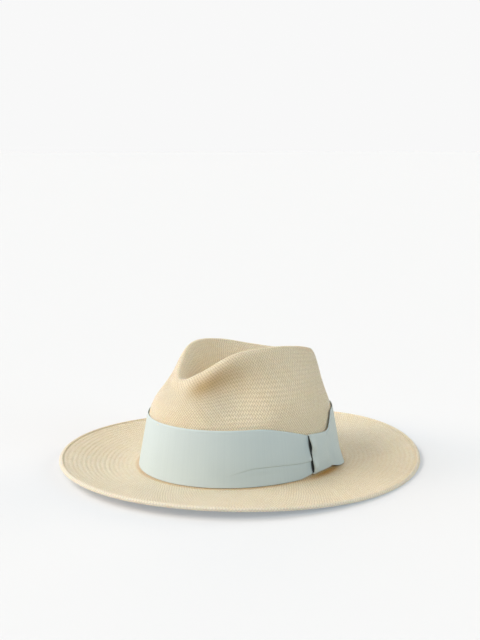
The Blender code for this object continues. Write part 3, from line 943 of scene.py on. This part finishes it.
def keeper_side(bottom, top, depth, corner, face):
    """Height and outward place along one side of the keeper's cloth."""
    turns = np.linspace(0.0, pi / 2, 7)
    low = [(bottom + corner * (1 - sin(a)), depth - corner * (1 - cos(a))) for a in turns[::-1]]
    high = [(top - corner * (1 - sin(a)), depth - corner * (1 - cos(a))) for a in turns]
    return [(bottom, 0.0), *low, *[(z, depth) for z in face], *high, (top, 0.0)]


def keeper_path(bottom, top, depth, corner, cloth):
    """Height and outward place round a C-shaped wrap of cloth over the ribbon's edges."""
    face = np.linspace(bottom + corner, top - corner, 26)[1:-1]
    outside = keeper_side(bottom, top, depth, corner, face)
    inside = keeper_side(bottom + cloth, top - cloth, depth - cloth, corner - cloth, face)
    return np.array(outside + inside[::-1])


def build_keeper(material):
    """The short wrap of ribbon over the gathered band; its front edge stands free."""
    low, high = ribbon_edges(np.array(KEEPER_ANGLE))
    ends = (low - KEEPER_OVER[0], high + KEEPER_OVER[1])
    path = keeper_path(*ends, KEEPER_OUT, KEEPER_CORNER, KEEPER_CLOTH)
    height, out = path[None, :, 0], path[None, :, 1]
    share = (height - height.min()) / (height.max() - height.min())
    width = np.linspace(0.0, 1.0, 34)[:, None]
    wave = radians(0.55) * bell(share, 0.42, 0.16) - radians(0.15) * share
    start = KEEPER_ANGLE - KEEPER_HALF
    angle = start + 2 * KEEPER_HALF * width + wave * (1 - width) ** 3
    stand = 0.0003 * np.sin(pi * width) - 0.00035 * smooth(0.8, 1.0, width)
    stand = stand + 0.00015 * np.sin(tau * (share * 1.5 + width))
    mouth = 0.25 + bell(share, 0.72, 0.15) + 0.75 * bell(share, 0.17, 0.13)
    stand = stand * (0.35 + 0.65 * np.sin(pi * share))
    stand = stand + KEEPER_MOUTH * mouth * (1 - smooth(0.0, 0.35, width))
    stand = stand * out / KEEPER_OUT
    height = height + share * (ribbon_edges(angle)[1] - high)
    points = wall_point(angle, height, ribbon_lift(angle, height) + out + stand)
    maps = {"cloth": cloth_map(points)[..., ::-1]}
    return add_strips("keeper_cloth", [(points, maps)], material, "ribbon", "bow_keeper", 55)


# ---- sewing and sweatband

def tube(centres, radius):
    """A round thread along a path, its ends drawn in, mapped in metres along it."""
    along = np.gradient(centres, axis=0)
    side = unit(np.cross(along, np.array([0.0, 0.0, 1.0])))
    up = unit(np.cross(side, along))
    turns = circle(THREAD_SIDES)[None, :, None]
    taper = np.full((len(centres), 1, 1), radius)
    taper[[0, -1]] = radius * 0.35
    spokes = side[:, None] * np.cos(turns) + up[:, None] * np.sin(turns)
    points = centres[:, None] + taper * spokes
    length = along_path(centres)
    round_it = np.linspace(0.0, 1.0, THREAD_SIDES + 1)
    return points, {"cloth": np.stack(np.meshgrid(length, round_it, indexing="ij"), axis=-1)}


def stitch(surface, start, end, depth):
    """One stitch over a surface from start to end; it dives in at both ends."""
    share = np.linspace(0.0, 1.0, 9)
    point, out = surface(start + (end - start) * share)
    hump = np.minimum(np.sin(pi * share) * 1.8, 1.0)
    return tube(point + out * (THREAD_RADIUS - depth * (1 - hump))[:, None], THREAD_RADIUS)


def stitches(surface, count, cover, depth):
    """A ring of running stitches, each covering a share of its step."""
    step = tau / count
    return [stitch(surface, i * step, (i + cover) * step, depth) for i in range(count)]


def hem_surface(angle):
    """The hem's seam on top of the brim, and the direction that faces out of it."""
    rows, places = straw_places()
    seam = np.interp(HEM_SEAM / BRIM_ROW, rows, places)
    near = hat_surface(angle, np.array([seam, seam + 0.1]))
    ahead = hat_surface(angle + 0.01, np.array([seam]))[:, 0]
    out = unit(np.cross(near[:, 1] - near[:, 0], near[:, 0] - ahead))
    return near[:, 0] + out * hem_relief(np.array(HEM_SEAM)), out


def sweat_surface(height):
    """The inner face of the sweatband at a height, and the direction that faces the head."""
    def surface(angle):
        out = unit(oval(angle, CROWN_B, CROWN_A, 0.0))
        return wall_point(angle, height, SWEAT_INSIDE), -out
    return surface


def build_hem_stitches(material):
    """The running stitches that hold the turned edge down."""
    sewn = stitches(hem_surface, *HEM_STITCHES)
    return add_strips("hem_stitches", sewn, material, "thread", "hem_stitching")


def build_brim_wire(material):
    """The steel wire inside the turned edge."""
    angles = circle(COLUMNS)
    centre, out, up = edge_frame(angles)
    turns = circle(12)[None, :, None]
    spokes = out[:, None] * np.cos(turns) + up[:, None] * np.sin(turns)
    points = centre[:, None] + WIRE_RADIUS * spokes
    mesh = grid_mesh("edge_wire", [(points, {})], ring=True)
    finish_mesh(mesh)
    return add_piece("edge_wire", mesh, material, "wire", "brim_wire")


def build_sweatband(material):
    """The leather band inside the crown, with a soft top edge and a seam at the back."""
    slit = radians(0.3)
    angle = np.linspace(pi + slit, 3 * pi - slit, 361)[:, None]
    share = np.linspace(0.0, 1.0, 19)[None, :]
    heights = SWEAT_Z[0] + (SWEAT_Z[1] - SWEAT_Z[0]) * share + 0 * angle
    roll = 0.0004 * smooth(0.8, 1.0, share) + 0.00022 * np.sin(9 * angle) * share * share
    outer = SWEAT_INSIDE + SWEAT_THICK - roll
    points = strip_outline(angle, heights, SWEAT_INSIDE - roll, outer)
    grids = [(points, {"cloth": cloth_map(points)})]
    return add_strips("sweatband_leather", grids, material, "leather", "sweatband")


def build_sweatband_stitches(material):
    """The running stitches that sew the sweatband to the straw."""
    sewn = stitches(sweat_surface(SWEAT_STITCH_Z), *SWEAT_STITCHES)
    return add_strips("sweatband_stitches", sewn, material, "thread", "sweatband_stitching")


def build_tack(name, angle, material):
    """One short stitch that holds the ribbon's top edge to the crown."""
    height = RIBBON_Z[1] - 0.002

    def surface(turn):
        folds = ribbon_folds(turn, height + 0 * turn)
        lift = ribbon_lift(turn, height) + RIBBON_THICK + folds
        return wall_point(turn, height, lift), unit(oval(turn, CROWN_B, CROWN_A, 0.0))

    half = TACK_LENGTH / 2 / CROWN_B
    sewn = [stitch(surface, angle - half, angle + half, 0.0003)]
    return add_strips(f"tack_stitch_{name}", sewn, material, "thread", f"ribbon_tack_{name}")


def on_sweatband(angle, height, lift):
    """A frame on the sweatband's inner face: point, across, up and facing the head."""
    turn = np.array([angle, angle - 0.01, angle + 0.01])
    points = wall_point(turn, height, SWEAT_INSIDE - lift)
    up = unit(wall_point(turn, height + 0.01)[0] - wall_point(turn, height)[0])
    across = unit(points[2] - points[1])
    return points[0], across, up, np.cross(across, up)


def flat_strip(frame_here, path, half_width, thick, upright):
    """A strip of cloth along a path that runs up or across the sweatband."""
    point, across, up, facing = frame_here
    run, side = (up, across) if upright else (across, up)
    centre = point + path[:, :1] * run + path[:, 1:] * facing
    along = unit(np.gradient(centre, axis=0))
    skin = unit(np.cross(along, side))
    wide = half_width[:, None] * side
    signs = ((-1, -1), (1, -1), (1, 1), (-1, 1))
    points = np.stack([centre + a * wide + b * thick / 2 * skin for a, b in signs], axis=1)
    return points, {"cloth": cloth_map(points)}


def build_bow(material):
    """The small flat bow over the sweatband's back seam: two loops and a knot."""
    length, width, thick = BOW_SIZE
    sagitta = (length / 2) ** 2 * CROWN_B / CROWN_A ** 2 / 2
    here = on_sweatband(pi, BOW_Z, GAP + sagitta + thick / 2)
    turns = np.linspace(0.02, tau - 0.02, 73)
    reach = np.cos(turns)
    far = np.abs(reach)
    open_loop = np.sin(turns) * (0.15 + 0.85 * reach ** 2) * 0.00042
    loops = np.stack([reach * length / 2, open_loop], axis=-1)
    half_width = width / 2 * (0.62 + 0.38 * smooth(0.1, 0.6, far) - 0.10 * smooth(0.8, 1.0, far))
    knot = np.stack([np.cos(turns) * width * 0.34, np.sin(turns) * 0.00055], axis=-1)
    knot_width = np.full(len(turns), length * 0.085)
    grids = [
        flat_strip(here, loops, half_width, BOW_CLOTH, False),
        flat_strip(here, knot, knot_width, BOW_CLOTH, True),
    ]
    return add_strips("seam_bow", grids, material, "ribbon", "sweatband_bow")


def build_tab(material):
    """A blank tab of folded cotton tape beside the bow."""
    width, height, thick = TAB_SIZE
    here = on_sweatband(TAB_ANGLE, TAB_Z, 2 * GAP + thick / 2)
    gap = thick / 4
    rise = np.linspace(-height / 2, height / 2 - gap, 12)
    turns = np.linspace(0.0, pi, 7)[1:-1]
    fold = [(rise[-1] + gap * sin(a), -gap * cos(a)) for a in turns]
    path = [(z, -gap) for z in rise] + fold + [(z, gap) for z in rise[::-1]]
    half_width = np.full(len(path), width / 2)
    tape = flat_strip(here, np.array(path), half_width, thick / 3, True)
    return add_strips("cloth_tab", [tape], material, "tab_cloth", "size_tab")


# ---- stage, light and camera

def build_camera():
    """The camera, which sees the hat from the wearer's left front."""
    azimuth, elevation = CAMERA_TURN
    back = Vector((sin(azimuth) * cos(elevation), -cos(azimuth) * cos(elevation), sin(elevation)))
    right = Vector((cos(azimuth), sin(azimuth), 0.0))
    target = Vector((0.0, CROWN_Y, CAMERA_AIM[1])) + right * CAMERA_AIM[0]
    data = bpy.data.cameras.new("camera")
    data.lens = CAMERA_LENS
    camera = add_object("camera", data)
    camera.location = target + back * CAMERA_AWAY
    camera.rotation_euler = (-back).to_track_quat("-Z", "Y").to_euler()
    bpy.context.scene.camera = camera


def build_floor():
    """A plain pale floor to the horizon, with a glow that softens the shadow."""
    g = Graph("pale_floor")
    g.set(Base_Color=(*FLOOR_COLOUR, 1.0), Roughness=0.9, Specular_IOR_Level=0.0)
    g.set(Emission_Color=(*FLOOR_GLOW, 1.0), Emission_Strength=1.0)
    r = FLOOR_REACH
    corners = [(-r, -r, 0), (r, -r, 0), (r, r, 0), (-r, r, 0)]
    mesh = bpy.data.meshes.new("floor")
    mesh.from_pydata(corners, [], [(0, 1, 2, 3)])
    mesh.materials.append(g.material)
    floor = add_object("floor", mesh)


def build_lights():
    """Broad soft suns, and a surround that is dim as light but looks pale."""
    for name, azimuth, elevation, spread, strength, colour in LIGHTS:
        data = bpy.data.lights.new(name, "SUN")
        data.angle = radians(spread)
        data.energy = strength
        data.color = colour
        lamp = add_object(name, data)
        a, e = radians(azimuth), radians(elevation)
        towards = Vector((sin(a) * cos(e), -cos(a) * cos(e), sin(e)))
        lamp.rotation_euler = towards.to_track_quat("Z", "Y").to_euler()
    world = bpy.data.worlds.new("surround")
    bpy.context.scene.world = world
    world.use_nodes = True
    tree = world.node_tree
    background = tree.nodes["Background"]
    background.inputs["Color"].default_value = (*SURROUND_COLOUR, 1.0)
    seen = tree.nodes.new("ShaderNodeBackground")
    seen.inputs["Color"].default_value = (*SEEN_COLOUR, 1.0)
    ray = tree.nodes.new("ShaderNodeLightPath")
    mix = tree.nodes.new("ShaderNodeMixShader")
    tree.links.new(ray.outputs["Is Camera Ray"], mix.inputs[0])
    tree.links.new(background.outputs[0], mix.inputs[1])
    tree.links.new(seen.outputs[0], mix.inputs[2])
    tree.links.new(mix.outputs[0], tree.nodes["World Output"].inputs["Surface"])


def main():
    straw = straw_material()
    ribbon = ribbon_material()
    thread = thread_material()
    build_straw(straw)
    hat_ribbon = build_ribbon(ribbon)
    keeper = build_keeper(ribbon)
    build_brim_wire(wire_material())
    build_hem_stitches(thread)
    sweatband = build_sweatband(leather_material())
    sewing = build_sweatband_stitches(thread)
    bow = build_bow(ribbon)
    tab = build_tab(tab_material())
    tacks = [build_tack(name, angle, thread) for name, angle in TACKS.items()]
    build_floor()
    build_lights()
    build_camera()
    bpy.context.scene.view_settings.view_transform = "Standard"


main()
